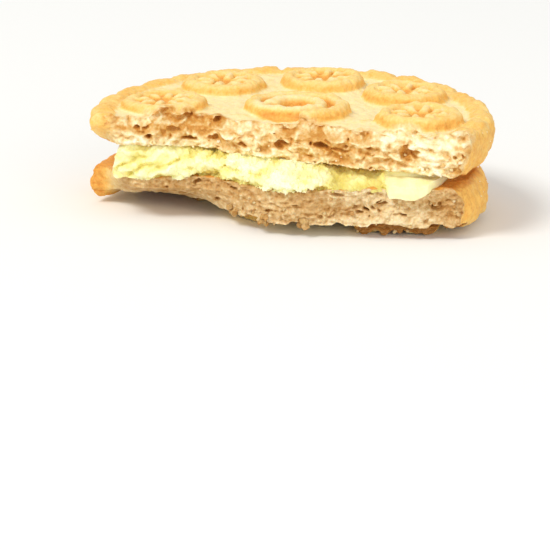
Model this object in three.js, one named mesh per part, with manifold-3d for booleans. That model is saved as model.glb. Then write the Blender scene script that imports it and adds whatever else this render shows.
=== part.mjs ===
// A lemon sandwich cookie with its front broken off: two embossed biscuits with lemon cream between.
// Millimetres, +Z up. The cookie lies flat with the break towards -Y.
// The origin is the middle of its outline, on the surface that it lies on.

import * as THREE from 'three';
import { mergeVertices } from 'three/addons/utils/BufferGeometryUtils.js';
import Module from 'manifold-3d';

const wasm = await Module();
wasm.setup();

// Driving dimensions of the cookie
const DISC_RADIUS = 25;
const FIELD_HEIGHT = 4.2; // from a biscuit's flat back to the recessed field of its face
const RIM_RISE = 0.8;
const ORNAMENT_RISE = 1.5;
const BISCUIT_THICKNESS = FIELD_HEIGHT + ORNAMENT_RISE;
const CREAM_GAP = 2.75; // between the two flat backs, at the disc's middle
const CREAM_RADIUS = 21.6;
const SEAT_CLEARANCE = 0.2;

// How the biscuits were baked and put together
const UPPER_TILT = THREE.MathUtils.degToRad(2.2); // lower on the right
const UPPER_PITCH = THREE.MathUtils.degToRad(1); // lower in front
const UPPER_SHIFT = 0.35;
const UPPER_WEDGE = 0.22; // share of its thickness by which a biscuit grows from its middle to the right
const UPPER_SAG = 0.05; // share of its thickness that it lacks at both edges
const LOWER_WEDGE = 0.1;
const LOWER_SAG = 0;

// Fluted rim of a biscuit
const LOBES = 28;
const LOBE_TURN = THREE.MathUtils.degToRad(3.2);
const STEPS_PER_LOBE = 5;
const ARC_STEPS = 3;
const BACK_EDGE_INSET = 1.5;
const BACK_ROUNDING = 0.9;
const WIDEST_HEIGHT = 3.1;
const CROWN_INSET = 1.8;
const RIM_WIDTH = 3.4;
const CROWN_WIDTH = 1;
const GROOVE_DEPTH = 0.75;
const GROOVE_DIP = 0.4;
const CROWN_HEIGHT = FIELD_HEIGHT + RIM_RISE;
const FOOT_RADIUS = DISC_RADIUS - RIM_WIDTH;

// Embossed ornament: a scroll in the middle and rosettes round it, each a dished button with petals
const ROSETTE_PITCH = THREE.MathUtils.degToRad(46.5);
const ROSETTE_START = THREE.MathUtils.degToRad(-17);
const ROSETTES_LEFT = 6; // those behind the break
const ROSETTE_CIRCLE = 0.65 * DISC_RADIUS;
const ROSETTE_RADIUS = 5.4;
const ROSETTE_STEPS = 20;
const ROSETTE_SINK = 0.3;
const ROSETTE_CROWN = 4.1; // radius at which a rosette is highest
const DISH_RADIUS = 3.1;
const DISH_DEPTH = 0.9;
const PETALS = 8;
const PETAL_SIZE = [1.4, 0.65, 0.8]; // half of its length, width and height
const PETAL_CIRCLE = 2.2;
const PETAL_SEGMENTS = [6, 4];
const RIDGE_SIDES = 6;
const SCROLL_RIDGE = 1.05;
const SCROLL_OUTER = 5.7; // radius of the outer loop
const SCROLL_INNER = 3.1;
const SCROLL_END = THREE.MathUtils.degToRad(-84); // where the outer loop ends
const SCROLL_TURN = THREE.MathUtils.degToRad(620);
const SCROLL_STEP = [230, 330].map(THREE.MathUtils.degToRad); // turn over which the outer loop moves in
const SCROLL_STEPS = 36;
const SCROLL_OFFSET = 0.4;

// Break across the front: how far its line lies from the disc's middle, and how it wanders
const UPPER_BREAK_MIDDLE = -7.9;
const UPPER_BREAK_SLOPE = -0.18;
const UPPER_BREAK_WAVE = 1.3;
const UPPER_WAVE_LENGTH = 42;
const NOTCH_DEPTH = 1.5; // how far the left middle has come away behind its line
const NOTCH_LEFT = [-17, -12];
const NOTCH_RIGHT = [-9.2, -8];
const UPPER_UNDERCUT = 4.5; // how far the upper left has come away behind its line, at its foot
const UPPER_UNDERCUT_HEIGHT = 2.4;
const UPPER_UNDERCUT_FADE = [-24.5, -20.5];
const UPPER_HEEL = 1.6; // how far the right end stands in front of its line
const UPPER_HEEL_FADE = [14, 21];
const LOWER_BREAK_LEFT = -4.5;
const LOWER_BREAK_RIGHT = -12.6;
const LOWER_STEP = [-12, 1];
const LOWER_UNDERCUT = 13; // how far the lower left has come away behind its line, at its foot
const LOWER_UNDERCUT_HEIGHT = 4;
const LOWER_UNDERCUT_FADE = [-18, -4];
const LOWER_CORNER = 8; // how far the left corner has come away behind its line, from top to foot
const LOWER_CORNER_FADE = [-24, -18];
const TOE_REACH = 1.5; // how far the lower right stands in front of its line
const TOE_FADE = [4, 12];
const CREAM_FORWARD = 0.5;
const CREAM_CORNER = 2.5;
const CREAM_LIP = 0.8;
const CREAM_LIP_FADE = [8, 15];
const CREAM_TUCK = 0.4; // how far the top of the face lies back under the upper biscuit's edge
const CREAM_ROLL = 1.8; // how late the face turns back as it rises
const CREAM_HOLLOW = 2; // how far the cream beside the facet has come away
const HOLLOW_LEFT = [3, 6.5];
const HOLLOW_RIGHT = [10.6, 11.6];
const FACET_FADE = [11.4, 12.2]; // to the right of this the face is upright

// Torn surface of the break
const BREAK_WIDTH = 60;
const BREAK_REACH = 40;
const BREAK_HEIGHT = 9.6;
const CRAG_CELL = 1.2;
const CRAG_DEPTH = 0.8;
const PIT_SHARE = 0.08;
const PIT_DEPTH = 1.1;
const CREAM_CRAG = 0.5;
const UPPER_SEED = 11;
const LOWER_SEED = 23;
const CREAM_SEED = 37;

// Edge of the cream
const CREAM_SEGMENTS = 60;
const CREAM_BULGE = 0.5;
const CREAM_WANDER = 0.6;
const CREAM_WAVES = 5;

// Crust and cream
const CRUST_COLOUR = 0xe3a95f;
const CRUST_ROUGHNESS = 0.75;
const CREAM_COLOUR = 0xf6ef9c;
const CREAM_ROUGHNESS = 0.55;

const MERGE_DISTANCE = 1e-4;
const UP = new THREE.Vector3(0, 0, 1);

// Seeded random numbers from 0 to 1
function seededRandom(seed) {
  let state = seed;
  return () => {
    state = (state + 0x6d2b79f5) | 0;
    let mixed = Math.imul(state ^ (state >>> 15), 1 | state);
    mixed = (mixed + Math.imul(mixed ^ (mixed >>> 7), 61 | mixed)) ^ mixed;
    return ((mixed ^ (mixed >>> 14)) >>> 0) / 2 ** 32;
  };
}

// Geometry with shared corners and only its positions
function weld(geometry) {
  geometry.deleteAttribute('normal');
  geometry.deleteAttribute('uv');
  return mergeVertices(geometry, MERGE_DISTANCE);
}

// Moves each corner of a geometry by a function that changes the point it is given
function shapePoints(geometry, change) {
  const positions = geometry.attributes.position;
  const point = new THREE.Vector3();
  for (let i = 0; i < positions.count; i += 1) {
    point.fromBufferAttribute(positions, i);
    change(point);
    positions.setXYZ(i, point.x, point.y, point.z);
  }
  return geometry;
}

// Closed solid from a geometry, without triangles that have shrunk to a line on the axis
function solidFrom(geometry) {
  const welded = weld(geometry);
  const corners = welded.index.array;
  const triangles = [];
  for (let i = 0; i < corners.length; i += 3) {
    const [a, b, c] = corners.subarray(i, i + 3);
    if (a !== b && b !== c && c !== a) {
      triangles.push(a, b, c);
    }
  }
  const vertProperties = welded.attributes.position.array;
  const triVerts = Uint32Array.from(triangles);
  return new wasm.Manifold(new wasm.Mesh({ numProp: 3, vertProperties, triVerts }));
}

// Geometry of a solid, for a mesh
function geometryFrom(solid) {
  const { vertProperties, triVerts } = solid.getMesh();
  const geometry = new THREE.BufferGeometry();
  geometry.setAttribute('position', new THREE.BufferAttribute(vertProperties, 3));
  geometry.setIndex(new THREE.BufferAttribute(triVerts, 1));
  geometry.computeVertexNormals();
  return geometry;
}

// Profile turned round the Z axis
function turned(profile, segments) {
  const geometry = new THREE.LatheGeometry(profile.getPoints(ARC_STEPS), segments);
  return weld(geometry.rotateX(Math.PI / 2));
}

// Height of a rim lobe at an angle: 1 on its crest, 0 in the groove beside it
function lobeShare(angle) {
  return Math.sqrt(Math.abs(Math.sin((LOBES * angle) / 2)));
}

// Biscuit without its ornament: flat back on z = 0, recessed field, round fluted rim
function biscuitBlank() {
  const profile = new THREE.Path();
  const crownRadius = DISC_RADIUS - CROWN_INSET;
  profile.moveTo(0, 0);
  profile.lineTo(DISC_RADIUS - BACK_EDGE_INSET, 0);
  profile.quadraticCurveTo(DISC_RADIUS, BACK_ROUNDING, DISC_RADIUS, WIDEST_HEIGHT);
  profile.quadraticCurveTo(DISC_RADIUS, CROWN_HEIGHT, crownRadius, CROWN_HEIGHT);
  profile.quadraticCurveTo(crownRadius - CROWN_WIDTH, CROWN_HEIGHT, FOOT_RADIUS, FIELD_HEIGHT);
  profile.lineTo(0, FIELD_HEIGHT);
  const blank = turned(profile, LOBES * STEPS_PER_LOBE);
  shapePoints(blank, (point) => {
    const radius = Math.hypot(point.x, point.y);
    const groove = 1 - lobeShare(Math.atan2(point.y, point.x));
    const rimShare = THREE.MathUtils.smoothstep(radius, FOOT_RADIUS, crownRadius);
    const heightShare = (1 + point.z / CROWN_HEIGHT) / 2;
    const scale = radius > 0 ? 1 - (GROOVE_DEPTH * groove * rimShare * heightShare) / radius : 1;
    point.x *= scale;
    point.y *= scale;
    if (point.z > FIELD_HEIGHT) {
      point.z -= (point.z - FIELD_HEIGHT) * GROOVE_DIP * groove;
    }
  });
  return blank.rotateZ(LOBE_TURN);
}

// Rosette about the Z axis: a button with a dished top, and petals in the dish
function rosette() {
  const dishHeight = BISCUIT_THICKNESS - DISH_DEPTH;
  const profile = new THREE.Path();
  profile.moveTo(0, FIELD_HEIGHT - ROSETTE_SINK);
  profile.lineTo(ROSETTE_RADIUS, FIELD_HEIGHT - ROSETTE_SINK);
  profile.quadraticCurveTo(ROSETTE_RADIUS, BISCUIT_THICKNESS, ROSETTE_CROWN, BISCUIT_THICKNESS);
  profile.lineTo(DISH_RADIUS, dishHeight);
  profile.lineTo(0, dishHeight);
  const pieces = [turned(profile, ROSETTE_STEPS)];
  for (let index = 0; index < PETALS; index += 1) {
    const petal = new THREE.SphereGeometry(1, ...PETAL_SEGMENTS).rotateX(Math.PI / 2).scale(...PETAL_SIZE);
    pieces.push(petal.translate(PETAL_CIRCLE, 0, dishHeight).rotateZ((index / PETALS) * 2 * Math.PI));
  }
  return pieces;
}

// Radius of the scroll at a turn from its outer end: a wide loop that moves in to a narrow one
function scrollRadius(turn) {
  return THREE.MathUtils.lerp(SCROLL_OUTER, SCROLL_INNER, THREE.MathUtils.smoothstep(turn, ...SCROLL_STEP));
}

// Scroll in the middle: one ridge, whose flat top facet lies on the crown of the ornament
function scroll() {
  const height = BISCUIT_THICKNESS - SCROLL_RIDGE * Math.cos(Math.PI / RIDGE_SIDES);
  const points = [];
  for (let step = 0; step <= SCROLL_STEPS; step += 1) {
    const turn = (step / SCROLL_STEPS) * SCROLL_TURN;
    const point = new THREE.Vector3(scrollRadius(turn), 0, height);
    points.push(point.applyAxisAngle(UP, SCROLL_END + turn));
  }
  const section = new THREE.Shape();
  for (let side = 0; side < RIDGE_SIDES; side += 1) {
    const turn = ((side + 0.5) / RIDGE_SIDES) * 2 * Math.PI;
    const corner = [SCROLL_RIDGE * Math.cos(turn), SCROLL_RIDGE * Math.sin(turn)];
    if (side === 0) {
      section.moveTo(...corner);
    } else {
      section.lineTo(...corner);
    }
  }
  section.closePath();
  const path = new THREE.CatmullRomCurve3(points);
  const ridge = new THREE.ExtrudeGeometry(section, { steps: SCROLL_STEPS, extrudePath: path });
  return ridge.translate(SCROLL_OFFSET, 0, 0);
}

// Block in front of a break: its back face is the broken surface, craggy and pitted
function breakBlock(surface, cragDepth, pitDepth, seed) {
  const random = seededRandom(seed);
  const across = Math.round(BREAK_WIDTH / CRAG_CELL);
  const upward = Math.round(BREAK_HEIGHT / CRAG_CELL);
  const block = weld(new THREE.BoxGeometry(BREAK_WIDTH, BREAK_REACH, BREAK_HEIGHT, across, 1, upward));
  return shapePoints(block, (point) => {
    point.z += BISCUIT_THICKNESS / 2;
    if (point.y > 0) {
      const pit = random() < PIT_SHARE ? pitDepth : 0;
      point.y = surface(point.x, point.z) + pit + (random() - 0.5) * cragDepth;
    } else {
      point.y = -BREAK_REACH;
    }
  });
}

// Whole biscuit with its ornament
function embossedBiscuit() {
  const ornament = [scroll()];
  for (let index = 0; index < ROSETTES_LEFT; index += 1) {
    const angle = ROSETTE_START + index * ROSETTE_PITCH;
    for (const piece of rosette()) {
      ornament.push(piece.translate(ROSETTE_CIRCLE, 0, 0).rotateZ(angle));
    }
  }
  let biscuit = solidFrom(biscuitBlank());
  for (const piece of ornament) {
    biscuit = biscuit.add(solidFrom(piece));
  }
  return geometryFrom(biscuit);
}

// Biscuit made thicker towards +X, less what is in front of its break
function brokenBiscuit(whole, wedge, sag, surface, seed) {
  const baked = shapePoints(whole, (point) => {
    const share = point.x / DISC_RADIUS;
    point.z *= 1 + wedge * share - sag * share * share;
  });
  const front = breakBlock(surface, CRAG_DEPTH, PIT_DEPTH, seed);
  return geometryFrom(solidFrom(baked).subtract(solidFrom(front)));
}

// Share of a surface's foot: 1 at the bottom, 0 from a height upwards
function footShare(z, height) {
  return THREE.MathUtils.clamp(1 - z / height, 0, 1);
}

// Line of the upper biscuit's break: further forward on the right, with one long wave, a notch and a heel
function upperBreak(x) {
  const wave = UPPER_BREAK_WAVE * Math.sin((-2 * Math.PI * x) / UPPER_WAVE_LENGTH);
  const notch = THREE.MathUtils.smoothstep(x, ...NOTCH_LEFT) - THREE.MathUtils.smoothstep(x, ...NOTCH_RIGHT);
  const heel = UPPER_HEEL * THREE.MathUtils.smoothstep(x, ...UPPER_HEEL_FADE);
  return UPPER_BREAK_MIDDLE + UPPER_BREAK_SLOPE * x + wave + NOTCH_DEPTH * notch - heel;
}

// Broken surface of the upper biscuit: undercut on the left
function upperSurface(x, z) {
  const leftShare = 1 - THREE.MathUtils.smoothstep(x, ...UPPER_UNDERCUT_FADE);
  return upperBreak(x) + UPPER_UNDERCUT * leftShare * footShare(z, UPPER_UNDERCUT_HEIGHT);
}

// Line of the lower biscuit's break, where it meets the cream: set back on the left
function lowerBreak(x) {
  const share = THREE.MathUtils.smoothstep(x, ...LOWER_STEP);
  return THREE.MathUtils.lerp(LOWER_BREAK_LEFT, LOWER_BREAK_RIGHT, share);
}

// Share of the left corner that has come away: 1 at its tip, 0 from the inner end of its fade
function cornerShare(x) {
  return 1 - THREE.MathUtils.smoothstep(x, ...LOWER_CORNER_FADE);
}

// Broken surface of the lower biscuit: undercut on the left up to a missing corner, with a toe on the right
function lowerSurface(x, z) {
  const corner = cornerShare(x);
  const leftShare = (1 - THREE.MathUtils.smoothstep(x, ...LOWER_UNDERCUT_FADE)) * (1 - corner);
  const rightShare = THREE.MathUtils.smoothstep(x, ...TOE_FADE);
  const recess = LOWER_UNDERCUT * leftShare - TOE_REACH * rightShare;
  return lowerBreak(x) + LOWER_CORNER * corner + recess * footShare(z, LOWER_UNDERCUT_HEIGHT);
}

// Torn face of the cream, at a height above the lower biscuit: from just in front of that biscuit it rolls
// back to the upper biscuit's edge, and on the right it is an upright facet
function creamSurface(x, height) {
  const lip = CREAM_LIP * THREE.MathUtils.smoothstep(x, ...CREAM_LIP_FADE);
  const front = lowerBreak(x) + CREAM_CORNER * cornerShare(x) - CREAM_FORWARD - lip;
  const hollowShare = THREE.MathUtils.smoothstep(x, ...HOLLOW_LEFT)
    - THREE.MathUtils.smoothstep(x, ...HOLLOW_RIGHT);
  const back = Math.max(front, upperBreak(x) + CREAM_TUCK + CREAM_HOLLOW * hollowShare);
  const rolled = THREE.MathUtils.clamp(height / CREAM_GAP, 0, 1) ** CREAM_ROLL;
  return THREE.MathUtils.lerp(front, back, rolled * (1 - THREE.MathUtils.smoothstep(x, ...FACET_FADE)));
}

// Height of the lower biscuit's back, which slopes with its thickness
function lowerBack(x) {
  return BISCUIT_THICKNESS * (1 + (LOWER_WEDGE * x) / DISC_RADIUS);
}

// Height of the upper biscuit's back, which slopes as that biscuit is tilted
function upperBack(x, y) {
  const middle = BISCUIT_THICKNESS + CREAM_GAP;
  return middle - x * Math.tan(UPPER_TILT) + y * Math.tan(UPPER_PITCH);
}

// Disc of cream with an uneven edge, just clear of the backs of both biscuits
function creamDisc() {
  const profile = new THREE.Path();
  const edge = CREAM_RADIUS - CREAM_BULGE;
  profile.moveTo(0, 0);
  profile.lineTo(edge, 0);
  profile.quadraticCurveTo(CREAM_RADIUS + CREAM_BULGE, 0.5, edge, 1);
  profile.lineTo(0, 1);
  return shapePoints(turned(profile, CREAM_SEGMENTS), (point) => {
    const angle = Math.atan2(point.y, point.x);
    const wander = CREAM_WANDER * Math.sin(CREAM_WAVES * angle) * Math.cos(angle);
    point.x *= 1 + wander / CREAM_RADIUS;
    point.y *= 1 + wander / CREAM_RADIUS;
    const bottom = lowerBack(point.x) + SEAT_CLEARANCE;
    const top = upperBack(point.x, point.y) - SEAT_CLEARANCE;
    point.z = THREE.MathUtils.lerp(bottom, top, point.z);
  });
}

// Cream left between the two biscuits
function tornCream() {
  const front = breakBlock(creamSurface, CREAM_CRAG, 0, CREAM_SEED);
  front.translate(0, 0, BISCUIT_THICKNESS);
  return geometryFrom(solidFrom(creamDisc()).subtract(solidFrom(front)));
}

// Baked crust, the same on both biscuits
function crust() {
  return new THREE.MeshStandardMaterial({ color: CRUST_COLOUR, roughness: CRUST_ROUGHNESS, metalness: 0 });
}

// Lower biscuit: turned over, so that its embossed face lies on the surface below
const turnedOver = embossedBiscuit().rotateY(Math.PI).translate(0, 0, BISCUIT_THICKNESS);
const lowerBiscuit = new THREE.Mesh(
  brokenBiscuit(turnedOver, LOWER_WEDGE, LOWER_SAG, lowerSurface, LOWER_SEED),
  crust(),
);
lowerBiscuit.name = 'lower_biscuit';

// Lemon cream between the flat backs of the biscuits
const lemonCream = new THREE.Mesh(
  tornCream(),
  new THREE.MeshStandardMaterial({ color: CREAM_COLOUR, roughness: CREAM_ROUGHNESS, metalness: 0 }),
);
lemonCream.name = 'lemon_cream';

// Upper biscuit: embossed face up, lower on the right and in front
const upperBiscuit = new THREE.Mesh(
  brokenBiscuit(embossedBiscuit(), UPPER_WEDGE, UPPER_SAG, upperSurface, UPPER_SEED),
  crust(),
);
upperBiscuit.name = 'upper_biscuit';
upperBiscuit.rotation.set(UPPER_PITCH, UPPER_TILT, 0);
upperBiscuit.position.set(UPPER_SHIFT, 0, BISCUIT_THICKNESS + CREAM_GAP);

// The cookie, moved so that the middle of its underside's outline is the origin
const cookie = new THREE.Group();
cookie.add(lowerBiscuit, lemonCream, upperBiscuit);
const outline = new THREE.Box3().setFromObject(cookie, true);
const middle = outline.getCenter(new THREE.Vector3());
cookie.position.set(-middle.x, -middle.y, -outline.min.z);

export default cookie;
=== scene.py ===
"""Lemon sandwich cookie with its front broken off: two embossed biscuits with lemon cream between.

Each piece is modelled in millimetres about the disc's axis, and its last step brings it to metres
and into the frame.
"""

import logging
import math
from dataclasses import dataclass, field
from enum import Enum, IntEnum

import bpy
import numpy as np
from mathutils import Euler, Matrix, Vector
from mathutils.kdtree import KDTree


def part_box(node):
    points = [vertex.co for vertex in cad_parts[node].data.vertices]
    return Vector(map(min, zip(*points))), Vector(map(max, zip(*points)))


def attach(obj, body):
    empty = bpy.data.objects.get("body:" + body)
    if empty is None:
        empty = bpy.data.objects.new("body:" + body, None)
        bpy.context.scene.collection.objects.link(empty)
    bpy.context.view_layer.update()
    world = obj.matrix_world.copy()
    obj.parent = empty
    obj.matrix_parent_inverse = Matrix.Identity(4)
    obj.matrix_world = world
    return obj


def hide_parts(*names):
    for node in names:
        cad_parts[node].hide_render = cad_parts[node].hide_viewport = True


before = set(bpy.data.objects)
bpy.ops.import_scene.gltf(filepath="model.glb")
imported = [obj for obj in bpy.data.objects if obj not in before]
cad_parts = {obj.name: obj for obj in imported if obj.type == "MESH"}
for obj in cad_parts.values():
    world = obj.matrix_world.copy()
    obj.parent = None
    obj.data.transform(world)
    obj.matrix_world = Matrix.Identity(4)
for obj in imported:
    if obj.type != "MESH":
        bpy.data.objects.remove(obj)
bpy.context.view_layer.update()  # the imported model, which stays as it is

log = logging.getLogger("cookie")

METRES = 0.001  # one millimetre
BODY = "root"

Piece = bpy.types.Object
Material = bpy.types.Material
Tree = bpy.types.NodeTree
Socket = bpy.types.NodeSocket
Values = np.ndarray  # one number for each point, or one row of x, y, z
Span = tuple[float, float]  # from and to, width and height, or radius and height
Triple = tuple[float, float, float]  # about or along X, Y and Z, or red, green and blue
Row = tuple[float, ...]  # as many numbers as there are places
Stops = tuple[tuple[float, str], ...]  # places on a colour ramp and their hex colours


class Face(Enum):
    """Which way a biscuit's embossed face looks."""

    UP = "up"
    DOWN = "down"


class Kind(Enum):
    """Modifiers that are applied to a piece."""

    REMESH = "REMESH"
    SMOOTH = "SMOOTH"
    DISPLACE = "DISPLACE"
    BOOLEAN = "BOOLEAN"


class Table(IntEnum):
    """Further random tables of a tear, as steps on from its seed."""

    CREAM_EDGE = 1
    DRIPS = 2
    CHIPS = 3
    ROLL = 4


# Small helpers for meshes


def deselect() -> None:
    """Leaves object mode with nothing selected."""
    if bpy.context.object is not None and bpy.context.object.mode != "OBJECT":
        bpy.ops.object.mode_set(mode="OBJECT")
    bpy.ops.object.select_all(action="DESELECT")


def pick(*pieces: Piece) -> None:
    """Selects these objects alone and makes the first one active.

    Args:
        pieces: The objects to work on.
    """
    deselect()
    for piece in pieces:
        piece.select_set(True)
    bpy.context.view_layer.objects.active = pieces[0]


def start_edit() -> None:
    """Starts to edit the active mesh, with all of it selected."""
    bpy.ops.object.mode_set(mode="EDIT")
    bpy.ops.mesh.select_all(action="SELECT")


def end_edit() -> None:
    """Turns all faces of the edited mesh outward and ends the edit."""
    bpy.ops.mesh.select_all(action="SELECT")
    bpy.ops.mesh.normals_make_consistent(inside=False)
    bpy.ops.object.mode_set(mode="OBJECT")


def read_rows(items: bpy.types.bpy_prop_collection, name: str) -> Values:
    """Reads three numbers of each corner of a mesh.

    Args:
        items: The corners, or the directions that the mesh faces there.
        name: What is read of each.

    Returns:
        One row for each corner.
    """
    rows = np.zeros(len(items) * 3)
    items.foreach_get(name, rows)
    return rows.reshape(-1, 3)


def read_points(piece: Piece) -> Values:
    """Reads where a mesh's corners lie, one row of x, y, z for each."""
    return read_rows(piece.data.vertices, "co")


def read_normals(piece: Piece) -> Values:
    """Reads which way a mesh faces at its corners, one direction for each."""
    return read_rows(piece.data.vertex_normals, "vector")


def write_points(piece: Piece, points: Values) -> None:
    """Moves a mesh's corners."""
    piece.data.vertices.foreach_set("co", points.ravel())
    piece.data.update()


def store(piece: Piece, name: str, values: Values) -> None:
    """Keeps one number for each corner, for the material to read."""
    attribute = piece.data.attributes.new(name, "FLOAT", "POINT")
    attribute.data.foreach_set("value", values.astype(np.float32))


def apply_modifier(piece: Piece, kind: Kind, **settings: object) -> None:
    """Adds a modifier and applies it.

    Args:
        piece: The object that is changed.
        kind: Which modifier.
        settings: The modifier's own settings.
    """
    pick(piece)
    bpy.ops.object.modifier_add(type=kind.value)
    modifier = piece.modifiers[-1]
    for name, value in settings.items():
        setattr(modifier, name, value)
    bpy.ops.object.modifier_apply(modifier=modifier.name)


def melt(piece: Piece, voxel: float, softening: int) -> None:
    """Joins the parts of a mesh into one skin of steps of this size, and smooths it so many times."""
    apply_modifier(piece, Kind.REMESH, mode="VOXEL", voxel_size=voxel)
    apply_modifier(piece, Kind.SMOOTH, factor=0.5, iterations=softening)


def ruffle(piece: Piece, clouds: tuple[Span, ...], group: str = "") -> None:
    """Raises and sinks a surface by cloudy noise.

    Args:
        piece: The object that is changed.
        clouds: Pairs of the width of one cloud and its height from lowest to highest, in millimetres.
        group: The vertex group that limits it, or nothing.
    """
    for size, strength in clouds:
        texture = bpy.data.textures.new("clouds", "CLOUDS")
        texture.noise_scale = size
        texture.noise_depth = 1
        apply_modifier(piece, Kind.DISPLACE, texture=texture, strength=strength, mid_level=0.5,
                       vertex_group=group)
        bpy.data.textures.remove(texture)


def clear_slivers(piece: Piece, least: float) -> None:
    """Merges doubled corners after a cut, takes off the fins that this leaves and closes their pinholes.

    Args:
        piece: The object that was cut.
        least: The shortest edge that is kept, in millimetres.
    """
    pick(piece)
    start_edit()
    bpy.ops.mesh.remove_doubles(threshold=least)
    bpy.ops.mesh.dissolve_degenerate(threshold=least)
    bpy.ops.mesh.select_all(action="SELECT")
    bpy.ops.mesh.quads_convert_to_tris()
    bpy.ops.mesh.select_all(action="DESELECT")
    bpy.ops.mesh.select_mode(type="FACE")
    bpy.ops.object.mode_set(mode="OBJECT")
    edges = np.zeros(len(piece.data.loops), dtype=int)
    piece.data.loops.foreach_get("edge_index", edges)
    open_sides = (np.bincount(edges)[edges] == 1).reshape(-1, 3).sum(axis=1)
    # A fin is a triangle with two or three open sides
    piece.data.polygons.foreach_set("select", open_sides > 1)
    bpy.ops.object.mode_set(mode="EDIT")
    bpy.ops.mesh.delete(type="FACE")
    bpy.ops.mesh.select_mode(type="VERT")
    bpy.ops.mesh.select_all(action="SELECT")
    bpy.ops.mesh.fill_holes(sides=0)
    bpy.ops.mesh.select_all(action="SELECT")
    bpy.ops.mesh.delete_loose()
    bpy.ops.mesh.quads_convert_to_tris()
    end_edit()


def place(piece: Piece, move: Vector, turn: Triple = (0, 0, 0), scale: float = 1) -> None:
    """Moves, turns and scales a mesh, and leaves its object at the origin.

    Args:
        piece: The object that is placed.
        move: Where its own origin goes.
        turn: Angles about X, Y and Z, in radians, with X applied last.
        scale: How much larger it becomes.
    """
    pick(piece)
    piece.rotation_mode = "ZYX"
    piece.rotation_euler = turn
    piece.location = move
    piece.scale = (scale, scale, scale)
    bpy.ops.object.transform_apply(location=True, rotation=True, scale=True)


def dress(piece: Piece, finish: Material, sharp: float) -> None:
    """Shades a piece smooth and gives it its finish.

    Args:
        piece: The object that is dressed.
        finish: Its only material.
        sharp: Edges that turn by more than this stay sharp, in radians.
    """
    pick(piece)
    bpy.ops.object.shade_smooth_by_angle(angle=sharp)
    piece.data.materials.clear()
    piece.data.materials.append(finish)


def smoothstep(values: Values, low: float, high: float) -> Values:
    """Soft step from 0, up to the low limit, to 1, from the high limit on."""
    share = np.clip((values - low) / (high - low), 0, 1)
    return share * share * (3 - 2 * share)


def arc(start: Span, bend: Span, end: Span, steps: int) -> list[Span]:
    """Points of a quadratic arc, without its start.

    Args:
        start: Where the arc starts.
        bend: The point that it leans towards.
        end: Where it ends.
        steps: How many points.

    Returns:
        The points in order.
    """
    points = []
    for step in range(1, steps + 1):
        share = step / steps
        weights = ((1 - share) ** 2, 2 * share * (1 - share), share ** 2)
        radius, height = np.dot(weights, (start, bend, end))
        points.append((float(radius), float(height)))
    return points


def draw_up(profile: list[Span], vertices: int) -> Piece:
    """Models a round body: a disc that is drawn up through a half section.

    Args:
        profile: Pairs of radius and height, from the bottom's edge to the top's.
        vertices: How many corners each ring has.

    Returns:
        The closed body about the Z axis.
    """
    deselect()
    bpy.ops.mesh.primitive_circle_add(
        vertices=vertices, radius=profile[0][0], fill_type="NGON", location=(0, 0, profile[0][1]))
    body = bpy.context.object
    place(body, body.location.copy())
    start_edit()
    for (radius, height), (next_radius, next_height) in zip(profile, profile[1:]):
        ratio = next_radius / radius
        bpy.ops.mesh.extrude_region_move(TRANSFORM_OT_translate={"value": (0, 0, next_height - height)})
        bpy.ops.transform.resize(value=(ratio, ratio, 1), center_override=(0, 0, next_height))
    end_edit()
    return body


@dataclass(frozen=True)
class Wave:
    """One layer of soft waves: its depth, width and height, and where it starts, in millimetres."""

    depth: float
    wide: float
    high: float = 1.0
    start: Span = (0.0, 0.0)


Waves = tuple[Wave, ...]


class Grain:
    """Seeded unevenness over a surface, such as crumb, crags and smears."""

    TABLE = 4096
    STRIDES = (1619, 31337)

    def __init__(self, seed: int) -> None:
        """Draws the random table.

        Args:
            seed: Makes the same table each time.
        """
        random = np.random.default_rng(seed)
        self.first = random.random(self.TABLE)
        self.second = random.random(self.TABLE)

    def _cell(self, column: Values, row: Values) -> Values:
        """Place in the random table of each whole cell."""
        return (column * self.STRIDES[0] + row * self.STRIDES[1]) % self.TABLE

    @staticmethod
    def _split(places: Values, size: float) -> tuple[Values, Values]:
        """The whole cell that each place lies in, and how far across the cell it lies."""
        whole = np.floor(places / size)
        return whole.astype(int), places / size - whole

    def waves(self, across: Values, upward: Values, *layers: Wave) -> Values:
        """Soft waves.

        Args:
            across: Place along the surface, in millimetres.
            upward: Place up the surface, in millimetres.
            layers: The waves that are added up.

        Returns:
            The waves together, in millimetres, about 0.
        """
        total = np.zeros(across.shape)
        for layer in layers:
            column, share_x = self._split(across + layer.start[0], layer.wide)
            row, share_y = self._split(upward + layer.start[1], layer.high)
            share_x, share_y = smoothstep(share_x, 0, 1), smoothstep(share_y, 0, 1)
            near = [self.first[self._cell(column + aside, row)] for aside in (0, 1)]
            far = [self.first[self._cell(column + aside, row + 1)] for aside in (0, 1)]
            lower = near[0] + (near[1] - near[0]) * share_x
            upper = far[0] + (far[1] - far[0]) * share_x
            total += layer.depth * (2 * (lower + (upper - lower) * share_y) - 1)
        return total

    def lumps(self, across: Values, upward: Values, lump: Wave) -> Values:
        """Scattered round lumps with creases between them.

        Args:
            across: Place along the surface, in millimetres.
            upward: Place up the surface, in millimetres.
            lump: How deep the creases are, how large the lumps, and where they start.

        Returns:
            The lumps in millimetres, highest in the middle of a lump, about 0.
        """
        column, share_x = self._split(across + lump.start[0], lump.wide)
        row, share_y = self._split(upward + lump.start[1], lump.high)
        nearest = np.full(across.shape, 2.0)
        for aside in (-1, 0, 1):
            for above in (-1, 0, 1):
                cell = self._cell(column + aside, row + above)
                away = np.hypot(aside + self.first[cell] - share_x, above + self.second[cell] - share_y)
                nearest = np.minimum(nearest, away)
        return lump.depth * (1 - 2 * np.clip(nearest, 0, 1))


# Sizes that the pieces share


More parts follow.
